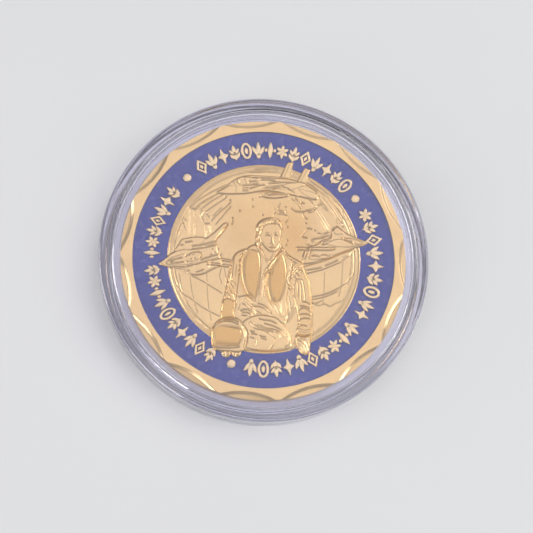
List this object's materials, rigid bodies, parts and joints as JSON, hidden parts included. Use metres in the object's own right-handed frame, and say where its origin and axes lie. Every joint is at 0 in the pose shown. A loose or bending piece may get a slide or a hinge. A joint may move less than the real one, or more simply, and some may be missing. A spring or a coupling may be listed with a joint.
{
  "type": "challenge coin in capsule",
  "caption": "Round gold-plated challenge coin with a blue enamel ring and scallop-cut rim, kept in a clear push-fit display capsule that opens to take the coin out.",
  "frame": {"origin": "centre of the capsule's foot ring, on the surface it lies on", "axes": "+Z out of the coin's obverse face and the lid's window, +Y towards the top of the coin's design, +X to its right"},
  "size_m": [0.046, 0.046, 0.0062],
  "materials": {
    "clear_acrylic": "clear polished acrylic",
    "gold_plate": "gold-plated brass, satin field and polished raised parts",
    "blue_enamel": "fired soft enamel, glossy"
  },
  "bodies": {
    "capsule_base": {"capsule_base": "clear_acrylic"},
    "coin": {"coin_body": "gold_plate", "enamel_obverse": "blue_enamel", "enamel_obverse_pools": "blue_enamel", "enamel_reverse": "blue_enamel"},
    "capsule_lid": {"capsule_lid": "clear_acrylic"}
  },
  "joints": [
    {"name": "coin_lift", "type": "slide", "parent": "capsule_base", "child": "coin", "axis": [0, 0, 1], "range_m": [0, 0.015]},
    {"name": "lid_lift", "type": "slide", "parent": "coin", "child": "capsule_lid", "axis": [0, 0, 1], "range_m": [0, 0.015]}
  ]
}
